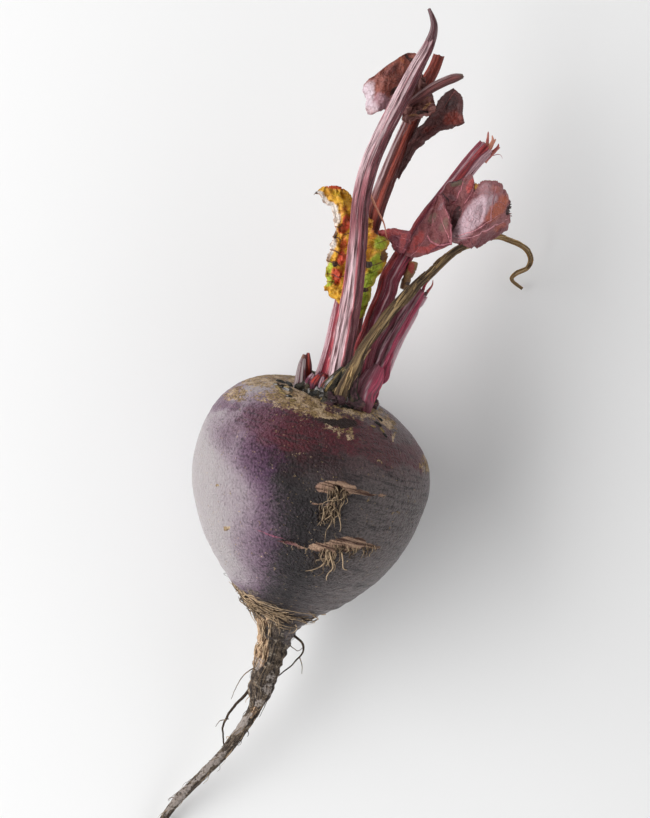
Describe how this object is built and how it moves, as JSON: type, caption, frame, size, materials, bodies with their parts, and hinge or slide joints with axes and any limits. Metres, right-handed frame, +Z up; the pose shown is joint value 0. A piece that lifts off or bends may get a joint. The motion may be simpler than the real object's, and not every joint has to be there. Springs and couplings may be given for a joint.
{
  "type": "beetroot",
  "caption": "Whole round beetroot lying on its side, with a tapering taproot, corky crown, snapped leaf stalks and withered leaf remains.",
  "frame": {"origin": "centre of the small flat spot that the swollen root rests on, under the centre of mass", "axes": "+Z up from the surface, +Y from the taproot towards the crown and leaf stalks, +X to the right seen along +Y"},
  "size_m": [0.0945, 0.3099, 0.0789],
  "materials": {
    "root_skin": "leathery dark purple skin with tan scurf at the crown end",
    "crown_cork": "rough dark cork with old leaf scars",
    "pink_stalk": "ribbed pale pink and maroon, satin",
    "red_stalk": "ribbed brownish red, satin",
    "dark_red_stalk": "ribbed dark red, satin",
    "magenta_stalk": "deeply ribbed magenta, satin",
    "bright_stalk": "bright pink red, satin",
    "dry_strand": "dry twisted fibrous olive tan",
    "shoot_skin": "pink red, satin",
    "bud_skin": "dark red, satin",
    "yellow_blade": "yellow and orange crinkled leaf with green and brown patches",
    "brown_blade": "brown red leaf with a pale pink back",
    "torn_blade": "torn brown red leaf with its pink midrib",
    "dark_blade": "nearly black maroon leaf",
    "red_blade": "dull red leaf with pale pink veins",
    "veined_blade": "dull red and pale pink folded leaf with veins",
    "scrap_blade": "yellow and red leaf scrap"
  },
  "bodies": {
    "root": {"swollen_root": "root_skin", "crown": "crown_cork", "tall_stalk": "pink_stalk", "second_stalk": "red_stalk", "right_stalk": "dark_red_stalk", "thick_stalk": "magenta_stalk", "thin_stalk": "bright_stalk", "withered_strand": "dry_strand", "young_shoot": "shoot_skin", "red_bud": "bud_skin", "yellow_leaf": "yellow_blade", "top_leaf": "brown_blade", "torn_leaf": "torn_blade", "dark_leaf": "dark_blade", "folded_leaf": "red_blade", "wing_leaf": "red_blade", "broad_leaf": "veined_blade", "small_leaf_tip": "red_blade", "leaf_scrap": "scrap_blade"}
  },
  "joints": []
}
